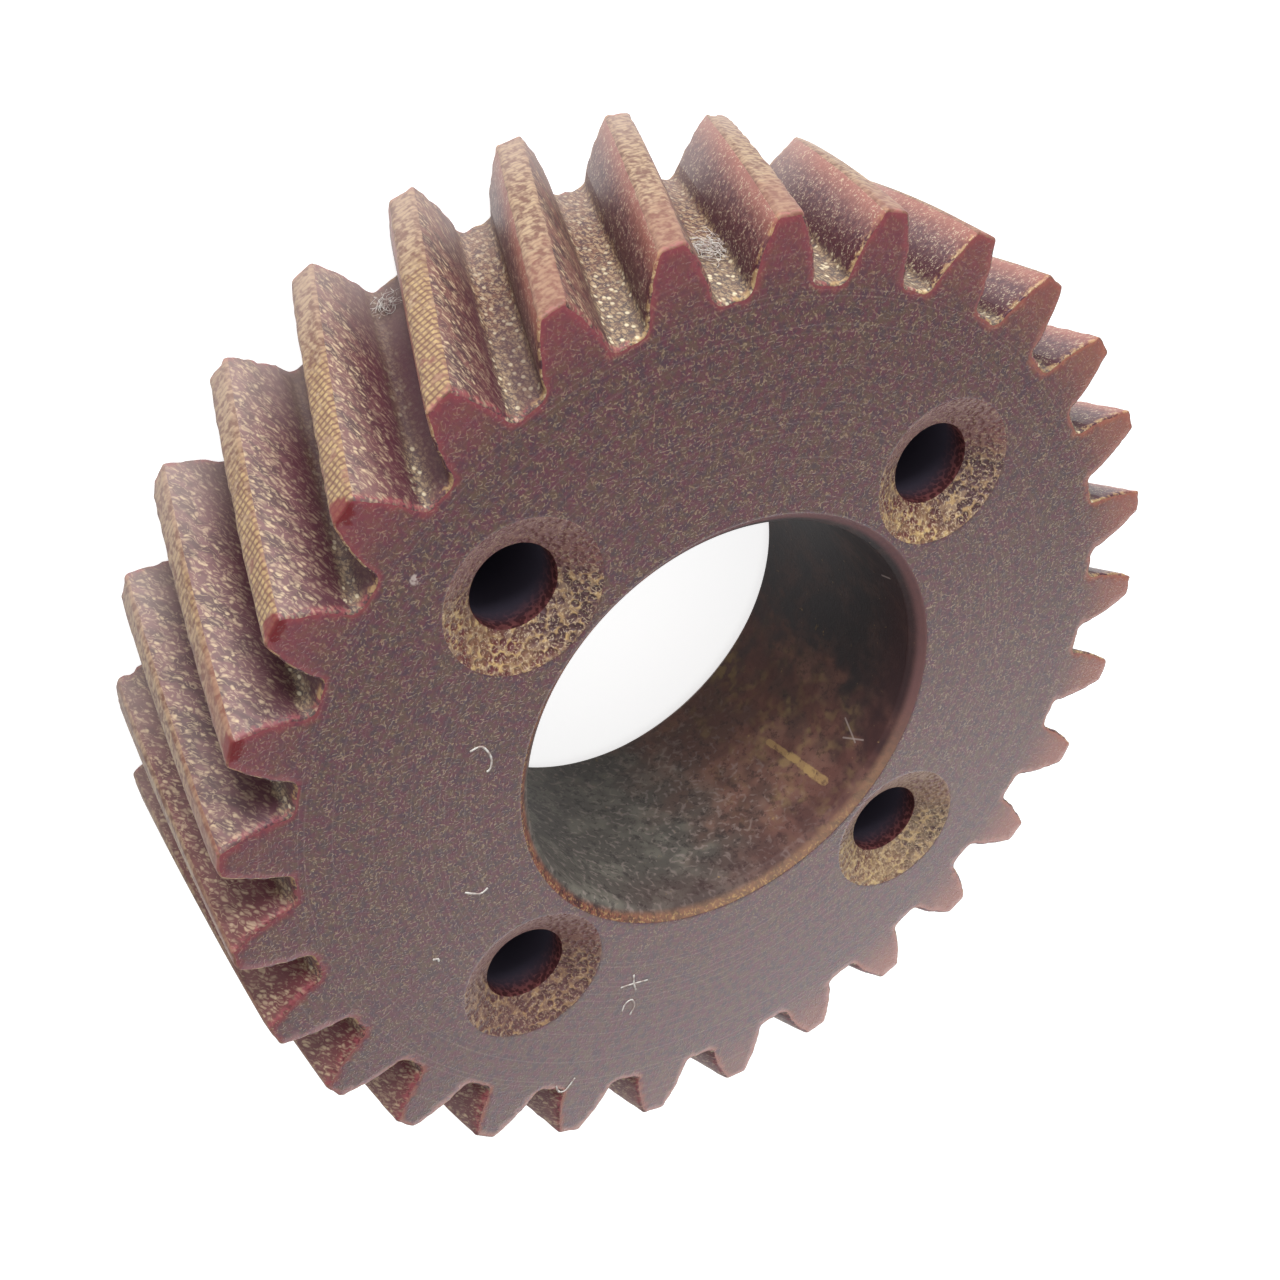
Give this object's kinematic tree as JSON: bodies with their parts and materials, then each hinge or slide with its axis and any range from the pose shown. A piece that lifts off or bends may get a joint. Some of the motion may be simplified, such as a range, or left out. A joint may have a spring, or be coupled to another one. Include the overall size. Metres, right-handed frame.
{
  "type": "worm wheel",
  "caption": "Right-hand helical gear ring of woven fabric laminate, with a wide chamfered bore and countersunk screw holes through its face.",
  "frame": {"origin": "centre of the bore at the back face", "axes": "+Z along the bore axis, out of the countersunk face; +X through the first screw hole"},
  "size_m": [0.066, 0.066, 0.018],
  "materials": {
    "fabric_laminate": "machined woven laminate, dull maroon resin with ochre threads"
  },
  "bodies": {
    "root": {"worm_wheel": "fabric_laminate"}
  },
  "joints": []
}
